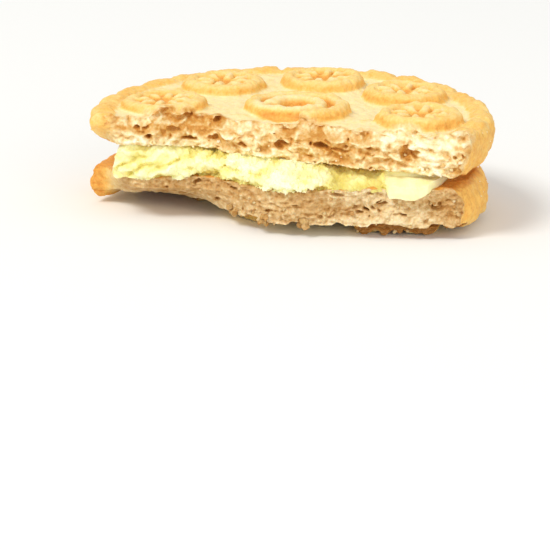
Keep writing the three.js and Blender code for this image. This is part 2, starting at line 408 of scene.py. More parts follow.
@dataclass(frozen=True)
class Bake:
    """How a biscuit's thickness changes from left to right."""

    wedge: float
    sag: float
    radius: float = 25.0

    def swell(self, across: Values) -> Values:
        """How many times as thick the biscuit is at a place as in its middle."""
        share = across / self.radius
        return 1 + self.wedge * share - self.sag * share * share


@dataclass(frozen=True)
class Cookie:
    """Sizes that the pieces share, in millimetres, and where the disc's axis lies in the frame."""

    disc_radius: float = 25.0
    field_height: float = 4.2
    rim_rise: float = 0.8
    ornament_rise: float = 1.5
    cream_gap: float = 2.75
    cream_radius: float = 21.6
    upper_tilt: float = math.radians(2.2)
    upper_pitch: float = math.radians(1.0)
    upper_shift: float = 0.35
    upper_bake: Bake = Bake(wedge=0.22, sag=0.05)
    lower_bake: Bake = Bake(wedge=0.1, sag=0.0)

    @property
    def thickness(self) -> float:
        """From a biscuit's flat back to the top of its ornament."""
        return self.field_height + self.ornament_rise

    @property
    def crown_height(self) -> float:
        """From a biscuit's flat back to the top of its rim."""
        return self.field_height + self.rim_rise

    def axis(self) -> Vector:
        """Finds the disc's axis from the lower biscuit, whose rim is whole at the back and on the right.

        Returns:
            The axis's foot on the floor, in metres.
        """
        _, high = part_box("lower_biscuit")
        radius = self.disc_radius * METRES
        return Vector((high.x - radius, high.y - radius, 0))

    def lower_back(self, across: Values) -> Values:
        """Height of the lower biscuit's back."""
        return self.thickness * self.lower_bake.swell(across)

    def upper_back(self, across: Values, back: Values) -> Values:
        """Height of the upper biscuit's back."""
        level = self.thickness + self.cream_gap
        return level - across * math.tan(self.upper_tilt) + back * math.tan(self.upper_pitch)


# The broken surfaces


@dataclass(frozen=True)
class Pit:
    """A hollow in the crumb, in millimetres."""

    across: float
    upward: float
    half_width: float
    half_height: float
    depth: float


@dataclass
class Tear:
    """A broken or torn surface across the front, made as a block of what is missing."""

    cookie: Cookie
    seed: int = 0
    low: float = -1.0
    high: float = 7.6
    step: float = 0.1
    width: float = 53.0
    reach: float = 40.0
    sliver: float = 0.01
    # Painted shade: the listed shades darken stretches of the break, and the contrast sets how far deeper
    # relief paints shade and raised relief paints highlight.
    painted_shade_places: Row = (0.0,)
    painted_shades: Row = (0.0,)
    painted_shade_contrast: float = 1.0
    blend: float = 0.22
    worn_fade: Span = (-27.0, -26.0)
    worn_relief: float = 0.3
    points: Values = field(init=False, default=None)
    depths: Values = field(init=False, default=None)

    def line(self, across: Values, upward: Values) -> Values:
        """How far back the surface lies, without its relief."""
        raise NotImplementedError

    def relief(self, across: Values, upward: Values) -> Values:
        """How deep the relief goes into the food."""
        raise NotImplementedError

    def fresh(self, across: Values) -> Values:
        """Share of the break that is rough and pale, and not worn round at its left end."""
        return smoothstep(across, *self.worn_fade)

    def block(self) -> Piece:
        """Models the block whose back is the broken surface.

        Returns:
            A closed block that is cut from the food.
        """
        deselect()
        tall = self.high - self.low
        columns, rows = round(self.width / self.step), round(tall / self.step)
        bpy.ops.mesh.primitive_grid_add(x_subdivisions=columns, y_subdivisions=rows, size=1)
        block = bpy.context.object
        block.scale = (self.width, tall, 1)
        block.rotation_euler = (math.pi / 2, 0, 0)
        block.location = (0, 0, (self.low + self.high) / 2)
        bpy.ops.object.transform_apply(location=True, rotation=True, scale=True)
        points = read_points(block)
        across, upward = points[:, 0].copy(), points[:, 2].copy()
        rough = self.worn_relief + (1 - self.worn_relief) * self.fresh(across)
        self.depths = self.relief(across, upward) * rough
        points[:, 1] = self.line(across, upward) + self.depths
        self.points = points
        write_points(block, points)
        start_edit()
        bpy.ops.mesh.extrude_region_move(TRANSFORM_OT_translate={"value": (0, -self.reach, 0)})
        bpy.ops.transform.resize(value=(1, 0, 1), center_override=(0, -self.reach, 0))
        end_edit()
        return block

    def cut(self, piece: Piece) -> tuple[Values, Values]:
        """Breaks the front off a piece and finds what the break laid open.

        Args:
            piece: The whole piece, which loses its front.

        Returns:
            For each corner, how far it lies on the break, from 0 to 1, and its painted shade there, as a
            depth.
        """
        block = self.block()
        apply_modifier(piece, Kind.BOOLEAN, operation="DIFFERENCE", solver="MANIFOLD", object=block)
        bpy.data.meshes.remove(block.data)
        clear_slivers(piece, self.sliver)
        tree = KDTree(len(self.points))
        for index, point in enumerate(self.points):
            tree.insert(point, index)
        tree.balance()
        found = [tree.find(vertex.co)[1:] for vertex in piece.data.vertices]
        index = np.array([entry[0] for entry in found])
        away = np.array([entry[1] for entry in found])
        torn = 1 - smoothstep(away, self.step / 2, self.blend)
        # Painted shade: the relief's depth, scaled, plus the listed shade across the break.
        tint = np.interp(self.points[index, 0], self.painted_shade_places, self.painted_shades)
        return torn, (self.painted_shade_contrast * self.depths[index] + tint) * torn


@dataclass
class CrumbBreak(Tear):
    """Broken crumb: flakes, rounded lumps, grains, a few large pits and a chipped lower edge."""

    pits: tuple[Pit, ...] = ()
    scattered_pits: int = 36
    pit_reach: float = 0.46
    pit_middle: float = 2.2
    pit_spread: float = 1.1
    pit_widths: Span = (0.2, 0.5)
    pit_heights: Span = (0.16, 0.34)
    pit_depths: Span = (0.3, 0.7)
    stray_across: Waves = (Wave(0.45, 1.1, 0.8, (40, 0)), Wave(0.2, 0.45, 0.4, (60, 0)))
    stray_upward: Waves = (Wave(0.28, 1.3, 0.7, (0, 40)), Wave(0.14, 0.5, 0.4, (0, 60)))
    flake: float = 0.32
    flake_level: float = 0.55
    flake_wave: Wave = Wave(1.0, 1.7, 1.2)
    lumps: Waves = (Wave(0.34, 1.35, 1.0), Wave(0.17, 0.675, 0.5, (7, 3)))
    streak: Wave = Wave(0.0, 4.5, 0.3, (20, 0))
    grains: Waves = (
        Wave(0.35, 6.5, 3.2), Wave(0.14, 0.42, 0.32, (3, 9)), Wave(0.084, 0.26, 0.24, (8, 5)))
    chip: float = 0.3
    chip_base: float = 0.0
    chip_share: float = 0.0
    chip_waves: Waves = (Wave(1.0, 2.2), Wave(0.5, 0.8, start=(5, 0)))
    chip_depth: float = 1.6
    chip_edge: Span = (-0.4, 0.1)

    def all_pits(self) -> list[Pit]:
        """The pits that are placed, and smaller ones scattered about the biscuit's middle layer.

        Returns:
            Every pit of this break.
        """
        random = np.random.default_rng(self.seed)
        pits = list(self.pits)
        for _ in range(self.scattered_pits):
            pits.append(Pit(
                across=random.uniform(-self.pit_reach, self.pit_reach) * self.width,
                upward=random.normal(self.pit_middle, self.pit_spread),
                half_width=random.uniform(*self.pit_widths),
                half_height=random.uniform(*self.pit_heights),
                depth=random.uniform(*self.pit_depths),
            ))
        return pits

    def chips(self, across: Values, upward: Values) -> Values:
        """How deep crumbs have come away along the lower edge.

        Args:
            across: Place along the break, in millimetres.
            upward: Place up the break, in millimetres.

        Returns:
            Depth in millimetres.
        """
        waves = Grain(self.seed + Table.CHIPS).waves(across, 0 * across, *self.chip_waves)
        height = self.chip_base + self.chip * np.clip(self.chip_share + waves, 0, 1)
        start, end = self.chip_edge
        return self.chip_depth * (1 - smoothstep(upward, height + start, height + end))

    def relief(self, across: Values, upward: Values) -> Values:
        """How deep the relief goes into the crumb.

        Args:
            across: Place along the break, in millimetres.
            upward: Place up the break, in millimetres.

        Returns:
            Depth in millimetres, less than 0 where crumb stands out.
        """
        grain = Grain(self.seed)
        bent_x = across + grain.waves(across, upward, *self.stray_across)
        bent_z = upward + grain.waves(across, upward, *self.stray_upward)
        depth = grain.waves(across, upward, *self.grains) + grain.waves(across, bent_z, self.streak)
        ledge = 1 - np.abs(grain.waves(bent_x, bent_z, self.flake_wave))
        depth += self.flake * (self.flake_level - ledge ** 2)
        for lump in self.lumps:
            depth -= grain.lumps(bent_x, bent_z, lump)
        for pit in self.all_pits():
            share_x = (bent_x - pit.across) / pit.half_width
            share_z = (bent_z - pit.upward) / pit.half_height
            depth += pit.depth * np.clip(1 - share_x ** 2 - share_z ** 2, 0, 1)
        return depth + self.chips(across, upward)


@dataclass
class UpperBreak(CrumbBreak):
    """Break of the upper biscuit: a long wave with a notch and a heel, undercut on the left.

    Its top is rolled back unevenly.
    """

    seed: int = 11
    # Painted shade: darker on the left and in the middle of the break, with strong painted shade and
    # highlight from the relief.
    painted_shade_places: Row = (-10.0, -1.0, 8.0)
    painted_shades: Row = (0.5, 0.75, 0.2)
    painted_shade_contrast: float = 1.6
    blend: float = 0.8
    worn_fade: Span = (-24.0, -21.0)
    pits: tuple[Pit, ...] = (
        Pit(-18.9, 2.5, 0.6, 0.35, 0.8), Pit(-14.5, 2.2, 0.7, 0.35, 0.9), Pit(-12.5, 1.1, 0.7, 0.3, 0.8),
        Pit(-9.8, 1.4, 0.7, 0.35, 1.0), Pit(-8.7, 3.6, 0.8, 0.7, 0.9), Pit(-6.1, 1.3, 0.6, 0.25, 0.7),
        Pit(-1.1, 1.8, 0.8, 0.6, 1.3), Pit(-0.2, 3.4, 0.8, 0.5, 0.5), Pit(3.8, 2.2, 0.9, 0.5, 1.4),
        Pit(5.9, 1.9, 1.2, 0.3, 0.6), Pit(14.3, 2.3, 1.4, 0.7, 1.2),
    )
    middle: float = -7.9
    slope: float = -0.18
    swing: float = 1.3
    swing_length: float = 42.0
    notch: float = 1.5
    notch_left: Span = (-17.0, -12.0)
    notch_right: Span = (-9.2, -8.0)
    undercut: float = 4.5
    undercut_height: float = 2.4
    undercut_fade: Span = (-24.5, -20.5)
    heel: float = 1.6
    heel_fade: Span = (14.0, 21.0)
    roll: float = 1.3
    roll_height: float = 1.4
    roll_waves: Waves = (Wave(0.6, 2.6, 1.5), Wave(0.6, 1.0, 0.7, (7, 0)))

    def edge(self, across: Values) -> Values:
        """Where the break runs, without its undercut and its rolled top.

        Args:
            across: Place along the break, in millimetres.

        Returns:
            Distance from the disc's middle, in millimetres.
        """
        swing = self.swing * np.sin(-2 * np.pi * across / self.swing_length)
        notch = self.notch * (smoothstep(across, *self.notch_left) - smoothstep(across, *self.notch_right))
        heel = self.heel * smoothstep(across, *self.heel_fade)
        return self.middle + self.slope * across + swing + notch - heel

    def line(self, across: Values, upward: Values) -> Values:
        """How far back the break lies.

        Args:
            across: Place along the break, in millimetres.
            upward: Place up the break, in millimetres.

        Returns:
            Distance from the disc's middle, in millimetres.
        """
        left_share = 1 - smoothstep(across, *self.undercut_fade)
        foot = self.undercut * left_share * np.clip(1 - upward / self.undercut_height, 0, 1)
        top = self.cookie.field_height * self.cookie.upper_bake.swell(across)
        uneven = 1 + Grain(self.seed + Table.ROLL).waves(across, upward, *self.roll_waves)
        roll = self.roll * uneven * smoothstep(upward, top - self.roll_height, top)
        return self.edge(across) + foot + roll


@dataclass
class LowerBreak(CrumbBreak):
    """Break of the lower biscuit: undercut on the left up to a missing corner, with a toe on the right."""

    seed: int = 23
    high: float = 7.2
    # Painted shade: the lower crumb is darkened for the shade it lies in under the upper biscuit, most at
    # both ends.
    painted_shade_places: Row = (-4.0, 4.0, 8.0, 12.0, 18.0)
    painted_shades: Row = (0.5, 0.45, 0.15, 0.3, 0.5)
    worn_fade: Span = (-23.5, -19.5)
    pits: tuple[Pit, ...] = (
        Pit(-6.6, 4.7, 0.6, 0.25, 0.6), Pit(-2.2, 2.9, 0.3, 0.25, 0.5), Pit(5.9, 5.2, 1.0, 0.3, 0.6),
        Pit(10.0, 5.3, 0.4, 0.2, 0.5), Pit(11.5, 4.2, 0.9, 0.2, 0.5), Pit(13.7, 2.9, 0.7, 0.3, 0.6),
        Pit(17.9, 4.0, 1.5, 0.35, 0.6),
    )
    scattered_pits: int = 30
    pit_middle: float = 3.2
    flake: float = 0.16
    lumps: Waves = (Wave(0.2, 1.1, 0.7), Wave(0.1, 0.55, 0.35, (7, 3)))
    streak: Wave = Wave(0.1, 4.5, 0.3, (20, 0))
    grains: Waves = (
        Wave(0.3, 6.5, 3.2), Wave(0.16, 0.42, 0.32, (3, 9)), Wave(0.096, 0.26, 0.24, (8, 5)))
    chip: float = 0.5
    chip_base: float = 1.4  # just under the field, which faces the floor
    chip_share: float = 0.3
    chip_waves: Waves = (Wave(1.0, 1.5), Wave(0.5, 0.8, start=(5, 0)))
    chip_depth: float = 2.5
    left: float = -4.5
    right: float = -12.6
    edge_fade: Span = (-12.0, 1.0)
    undercut: float = 13.0
    undercut_height: float = 4.0
    undercut_fade: Span = (-18.0, -4.0)
    corner: float = 8.0
    corner_fade: Span = (-24.0, -18.0)
    toe: float = 1.5
    toe_fade: Span = (4.0, 12.0)

    def edge(self, across: Values) -> Values:
        """Where the break meets the cream."""
        return self.left + (self.right - self.left) * smoothstep(across, *self.edge_fade)

    def corner_share(self, across: Values) -> Values:
        """Share of the left corner that has come away."""
        return 1 - smoothstep(across, *self.corner_fade)

    def line(self, across: Values, upward: Values) -> Values:
        """How far back the break lies.

        Args:
            across: Place along the break, in millimetres.
            upward: Place up the break, in millimetres.

        Returns:
            Distance from the disc's middle, in millimetres.
        """
        corner = self.corner_share(across)
        left_share = (1 - smoothstep(across, *self.undercut_fade)) * (1 - corner)
        right_share = smoothstep(across, *self.toe_fade)
        foot = np.clip(1 - upward / self.undercut_height, 0, 1)
        recess = (self.undercut * left_share - self.toe * right_share) * foot
        return self.edge(across) + self.corner * corner + recess


@dataclass
class CreamTear(Tear):
    """Torn face of the cream: clumps and smears with frayed edges, and a clean facet on the right."""

    lower: LowerBreak = None
    upper: UpperBreak = None
    seed: int = 37
    low: float = 3.5
    high: float = 11.0
    # Painted shade in the hollow under the upper biscuit, left of the facet.
    painted_shade_places: Row = (2.5, 6.0, 11.2, 11.8)
    painted_shades: Row = (0.0, 0.85, 0.85, 0.0)
    forward: float = 0.5
    corner: float = 2.5
    lip: float = 0.8
    lip_fade: Span = (8.0, 15.0)
    tuck: float = -0.3
    lateness: float = 2.4
    hollow: float = 2.6
    hollow_left: Span = (3.0, 6.5)
    hollow_right: Span = (10.8, 11.8)
    hollow_lateness: float = 1.8
    hollow_calm: float = 0.4
    stray_across: Wave = Wave(0.6, 1.9, 1.3)
    stray_upward: Wave = Wave(0.4, 1.9, 1.3, (30, 0))
    grains: Waves = (Wave(0.4, 4.6, 2.4), Wave(0.08, 0.5, 0.42, (9, 4)))
    clumps: Waves = (Wave(0.58, 2.6, 1.7), Wave(0.232, 1.1, 0.85, (5, 2)))
    smear: Wave = Wave(0.5, 3.4, 0.9, (3, 0))
    smear_lean: float = math.radians(28)
    smeared_fade: Span = (-14.5, -8.5)
    smeared_calm: float = 0.55
    stroke: float = 0.95
    stroke_wave: Wave = Wave(1.0, 4.2, 1.1, (17, 5))
    notch_across: float = -7.3
    notch_depth: float = 0.8
    notch_edge: float = 0.4
    notch_width: float = 4.0
    fray: float = 0.5
    fray_edge: float = 0.08
    top_fray: float = 0.06
    top_fray_waves: Waves = (Wave(0.18, 1.7), Wave(0.08, 0.6))
    low_fray: float = 0.1
    low_fray_wave: Wave = Wave(0.16, 1.3, start=(9, 0))
    facet_fade: Span = (11.4, 12.2)
    facet_step: float = 3.2
    facet_top: Span = (0.62, 0.7)
    facet_calm: float = 0.92

    def facet_share(self, across: Values) -> Values:
        """Share of the clean facet on the right."""
        return smoothstep(across, *self.facet_fade)

    def hollow_share(self, across: Values) -> Values:
        """Share of the smooth hollow under the upper biscuit, to the left of the facet."""
        return smoothstep(across, *self.hollow_left) - smoothstep(across, *self.hollow_right)

    def smeared_share(self, across: Values) -> Values:
        """Share of the stretch on the left that is smeared more than it is crumbled."""
        return 1 - smoothstep(across, *self.smeared_fade)

    def rise(self, across: Values, upward: Values) -> Values:
        """Height in the layer: 0 on the lower biscuit, 1 under the upper one.

        Args:
            across: Place along the face, in millimetres.
            upward: Place up the face, in millimetres.

        Returns:
            From 0 to 1.
        """
        bottom = self.cookie.lower_back(across)
        top = self.cookie.upper_back(across, self.lower.edge(across))
        return np.clip((upward - bottom) / (top - bottom), 0, 1)

    def line(self, across: Values, upward: Values) -> Values:
        """How far back the torn face lies.

        Args:
            across: Place along the face, in millimetres.
            upward: Place up the face, in millimetres.

        Returns:
            Distance from the disc's middle, in millimetres.
        """
        front = self.lower.edge(across) + self.corner * self.lower.corner_share(across)
        front -= self.forward + self.lip * smoothstep(across, *self.lip_fade)
        hollow = self.hollow_share(across)
        back = np.maximum(front, self.upper.edge(across) + self.tuck + self.hollow * hollow)
        lateness = self.lateness - self.hollow_lateness * hollow
        rise = self.rise(across, upward)
        facet = self.facet_share(across)
        above = self.facet_step * facet * smoothstep(rise, *self.facet_top)
        return front + (back - front) * rise ** lateness * (1 - facet) + above

    def frayed(self, across: Values, upward: Values) -> Values:
        """Share of each place that lies in the frayed edges along both biscuits.

        Args:
            across: Place along the face, in millimetres.
            upward: Place up the face, in millimetres.

        Returns:
            From 0 to 1 below, and to a half above.
        """
        grain = Grain(self.seed)
        top = self.top_fray + grain.waves(across, 0 * across, *self.top_fray_waves)
        low = self.low_fray + grain.waves(across, 0 * across, self.low_fray_wave)
        rise = self.rise(across, upward)
        above = 0.5 - 0.5 * smoothstep(1 - rise, top / 2, top + self.fray_edge)
        return above + (1 - smoothstep(rise, low / 2, low + self.fray_edge))

    def relief(self, across: Values, upward: Values) -> Values:
        """How deep the relief goes into the cream.

        Args:
            across: Place along the face, in millimetres.
            upward: Place up the face, in millimetres.

        Returns:
            Depth in millimetres, less than 0 where cream stands out.
        """
        grain = Grain(self.seed)
        bent_x = across + grain.waves(across, upward, self.stray_across)
        bent_z = upward + grain.waves(across, upward, self.stray_upward)
        along = bent_x * math.cos(self.smear_lean) + bent_z * math.sin(self.smear_lean)
        beside = bent_z * math.cos(self.smear_lean) - bent_x * math.sin(self.smear_lean)
        depth = grain.waves(across, upward, *self.grains) + grain.waves(along, beside, self.smear)
        smeared = self.smeared_share(across)
        depth += self.stroke * smeared * (0.5 - np.abs(grain.waves(along, beside, self.stroke_wave)))
        for clump in self.clumps:
            depth += (1 - self.smeared_calm * smeared) * grain.lumps(bent_x, bent_z, clump)
        rough = 1 - self.facet_calm * self.facet_share(across)
        rough -= self.hollow_calm * self.hollow_share(across)
        start, end = self.notch_across - self.notch_edge, self.notch_across + self.notch_edge
        notch = self.notch_depth * (1 - smoothstep(across, start, end))
        notch = notch * np.exp(-((across - self.notch_across) / self.notch_width) ** 2)
        return (depth + self.fray * self.frayed(across, upward)) * rough + notch


# Finishes


def srgb(code: str) -> tuple[float, float, float, float]:
    """Linear colour of an sRGB hex value.

    Args:
        code: Six hex digits after a hash.

    Returns:
        Red, green, blue and full alpha.
    """
    parts = [int(code[start:start + 2], 16) / 255 for start in (1, 3, 5)]
    linear = [part / 12.92 if part <= 0.04045 else ((part + 0.055) / 1.055) ** 2.4 for part in parts]
    return (*linear, 1.0)


def per_metre(millimetres: float) -> float:
    """Texture scale that gives a pattern of this size."""
    return 1 / (millimetres * METRES)


def add_node(tree: Tree, kind: str, settings: dict[str, object] | None = None,
             inputs: dict[str | int, object] | None = None) -> bpy.types.Node:
    """Adds a node with its settings and links.

    Args:
        tree: The material's node tree.
        kind: The node's type.
        settings: The node's own settings. The stops of a colour ramp are pairs of place and hex colour.
        inputs: Values for the input sockets, or the output sockets that are linked to them.

    Returns:
        The new node.
    """
    node = tree.nodes.new(kind)
    for name, value in (settings or {}).items():
        if name == "stops":
            elements = node.color_ramp.elements
            while len(elements) < len(value):
                elements.new(1.0)
            for element, (position, code) in zip(elements, value):
                element.position = position
                element.color = srgb(code)
        else:
            setattr(node, name, value)
    for name, value in (inputs or {}).items():
        if isinstance(value, Socket):
            tree.links.new(value, node.inputs[name])
        else:
            node.inputs[name].default_value = value
    return node


def new_material(name: str) -> Material:
    """An empty node material.

    Args:
        name: The real material's name.

    Returns:
        The material, with no nodes.
    """
    material = bpy.data.materials.new(name)
    material.use_nodes = True
    material.node_tree.nodes.clear()
    return material


@dataclass(frozen=True)
class Pattern:
    """A noise in a food: its size in millimetres, its detail, and how much colours and surface show it."""

    size_mm: float
    detail: float
    crust: float = 0.0
    crumb: float = 0.0
    bump: float = 0.0
    bump_mm: float = 0.0


@dataclass(frozen=True)
class Food:
    """What the finishes of both foods share: dry and matt, with light that spreads a little inside."""

    name: str
    patterns: tuple[Pattern, ...]
    depth_range: Span
    crumb_stops: Stops
    roughness: float
    ior: float
    specular: float
    glow: float
    glow_mm: float
    glow_colour: Triple
    crust_stops: Stops = ()

    def colour(self, tree: Tree, base: Socket, shares: list[tuple[Socket, float]],
               stops: Stops) -> Socket:
        """Colours a surface by a value that noises, each taken about its middle, make uneven.

        Args:
            tree: The material's node tree.
            base: The even value.
            shares: Pairs of a noise and how much of it is added.
            stops: The colours for the value.

        Returns:
            The colour.
        """
        for noise, amount in shares:
            if not amount:
                continue
            centred = add_node(tree, "ShaderNodeMath", {"operation": "SUBTRACT"}, {0: noise, 1: 0.5})
            mixed = add_node(tree, "ShaderNodeMath", {"operation": "MULTIPLY_ADD"},
                             {0: centred.outputs[0], 1: amount, 2: base})
            base = mixed.outputs[0]
        return add_node(tree, "ShaderNodeValToRGB", {"stops": stops}, {"Fac": base}).outputs["Color"]

    def material(self) -> Material:
        """Builds the material.

        Returns:
            The material, which reads the attribute depth, and toast and torn if it has a crust.
        """
        material = new_material(self.name)
        tree = material.node_tree
        place_of = add_node(tree, "ShaderNodeTexCoord").outputs["Object"]
        values = {}
        for name in ("depth", "toast", "torn") if self.crust_stops else ("depth",):
            values[name] = add_node(tree, "ShaderNodeAttribute", {"attribute_name": name}).outputs["Fac"]
        crust_shares, crumb_shares, bumps = [], [], {}
        for pattern in self.patterns:
            inputs = {"Vector": place_of, "Scale": per_metre(pattern.size_mm), "Detail": pattern.detail}
            noise = add_node(tree, "ShaderNodeTexNoise", inputs=inputs).outputs["Fac"]
            crust_shares.append((noise, pattern.crust))
            crumb_shares.append((noise, pattern.crumb))
            if pattern.bump:
                bumps |= {"Strength": pattern.bump, "Distance": pattern.bump_mm * METRES, "Height": noise}
                bumps["Normal"] = add_node(tree, "ShaderNodeBump", inputs=bumps).outputs["Normal"]
        # The depth paints shade: deeper relief gives darker colours, and what stands out paler ones, as
        # painted highlight.
        low, high = self.depth_range
        shade = add_node(tree, "ShaderNodeMapRange", inputs={0: values["depth"], 1: low, 2: high})
        colour = self.colour(tree, shade.outputs[0], crumb_shares, self.crumb_stops)
        # The crust's colour follows its browning, which holds painted shade on flanks, in dishes and on
        # the back.
        if self.crust_stops:
            crust = self.colour(tree, values["toast"], crust_shares, self.crust_stops)
            colour = add_node(tree, "ShaderNodeMix", {"data_type": "RGBA"},
                              {0: values["torn"], 6: crust, 7: colour}).outputs[2]
        shader = add_node(tree, "ShaderNodeBsdfPrincipled", inputs={
            "Base Color": colour, "Roughness": self.roughness, "IOR": self.ior,
            "Specular IOR Level": self.specular, "Subsurface Weight": self.glow,
            "Subsurface Scale": self.glow_mm * METRES, "Subsurface Radius": self.glow_colour,
            "Normal": bumps["Normal"]})
        add_node(tree, "ShaderNodeOutputMaterial", inputs={"Surface": shader.outputs[0]})
        return material


@dataclass(frozen=True)
class ShortBiscuit(Food):
    """Baked short biscuit: a dry golden crust, paler in its recesses, and an open ivory crumb.

    The oven browns the crust where it stands out, and the break shows the pale inside. Painted shade
    browns the flanks, the dishes and the back further and darkens the hollows of the crumb, and paler
    raised flakes are painted highlight. The patterns are uneven baking, coarse crumb and grain, which is
    drawn as coarse as it needs to show.
    """

    name: str = "baked short biscuit"
    patterns: tuple[Pattern, ...] = (
        Pattern(5.0, 3.0, crust=0.5, crumb=0.4),
        Pattern(0.7, 2.0, crust=0.5, crumb=0.5, bump=0.6, bump_mm=0.16),
        Pattern(0.28, 2.0, crust=0.45, crumb=0.45, bump=0.7, bump_mm=0.1),
    )
    depth_range: Span = (-0.7, 1.0)
    # Painted shade and highlight: near white where the crumb stands out, brown in its hollows and pits.
    crumb_stops: Stops = (
        (0.0, "#fff5da"), (0.36, "#f6dfa8"), (0.6, "#e6bf80"), (0.82, "#d8a456"), (1.0, "#ca8a3a"))
    roughness: float = 0.62
    ior: float = 1.45
    specular: float = 0.35
    glow: float = 0.2
    glow_mm: float = 0.8
    glow_colour: Triple = (1.0, 0.55, 0.25)
    crust_stops: Stops = ((0.0, "#fae6ae"), (0.35, "#fad78a"), (0.7, "#f5bf60"), (1.0, "#e09a44"))


@dataclass(frozen=True)
class DullShortBiscuit(ShortBiscuit):
    """Baked short biscuit with the same crust, and a crumb that is duller, as in the lower biscuit."""

    name: str = "baked short biscuit with pale crumb"
    # A duller crumb, and darker in part as painted shade for the lower biscuit, which lies under the upper
    # one.
    crumb_stops: Stops = (
        (0.0, "#f6e8c9"), (0.36, "#e9d0a0"), (0.6, "#d5b078"), (0.82, "#c39455"), (1.0, "#b07a38"))


@dataclass(frozen=True)
class LemonFatCream(Food):
    """Beaten fat and sugar cream: pale lemon yellow, smooth at its edge, chalky where it is torn.

    The patterns are uneven beating, and sugar grain that is drawn as coarse as it needs to show.
    """

    name: str = "lemon fat cream"
    patterns: tuple[Pattern, ...] = (
        Pattern(2.2, 3.0, crumb=0.5), Pattern(0.3, 2.0, bump=0.35, bump_mm=0.06))
    depth_range: Span = (-1.0, 1.0)
    # Painted shade: the darker yellows colour the creases and the hollow under the upper biscuit.
    crumb_stops: Stops = ((0.0, "#fffee2"), (0.5, "#fffac0"), (0.8, "#f6ea94"), (1.0, "#e8d776"))
    roughness: float = 0.55
    ior: float = 1.46
    specular: float = 0.4
    glow: float = 0.35
    glow_mm: float = 1.0
    glow_colour: Triple = (1.0, 0.85, 0.35)


@dataclass(frozen=True)
class MattPaper:
    """Matt white backdrop paper: an even pale ground with a soft shadow."""

    colour: str = "#f7f7f5"
    roughness: float = 0.9
    specular: float = 0.1

    def material(self) -> Material:
        """Builds the material.

        Returns:
            The material.
        """
        material = new_material("matt backdrop paper")
        tree = material.node_tree
        shader = add_node(tree, "ShaderNodeBsdfPrincipled", inputs={
            "Base Color": srgb(self.colour), "Roughness": self.roughness,
            "Specular IOR Level": self.specular})
        add_node(tree, "ShaderNodeOutputMaterial", inputs={"Surface": shader.outputs[0]})
        return material


# The pieces


@dataclass(frozen=True)
class Browning:
    """How brown each part of a crust is, from 0 to 1, and where it starts and ends, in millimetres."""

    crown: float = 0.42
    crown_fade: Span = (0.1, -0.2)
    # Painted shade: flanks browner between their foot and top, and more where steep.
    flank: float = 0.45
    flank_foot: Span = (0.05, 0.3)
    flank_top: Span = (0.5, -0.1)
    steep: float = 0.15
    steep_fade: Span = (0.1, 0.5)
    # Painted shade in the dishes of the rosettes and within the scroll, less as the dish rises.
    dish: float = 0.9
    dish_less: float = 0.7
    dish_fade: Span = (-0.8, -0.15)
    dish_edge: Span = (-0.9, -0.1)
    side: float = 0.72
    side_less: float = 0.32
    side_height: float = 3.6
    side_margin: float = 0.5
    # The back is browned by baking, and more as painted shade for the gap between the biscuits.
    back_fade: Span = (0.1, 0.8)


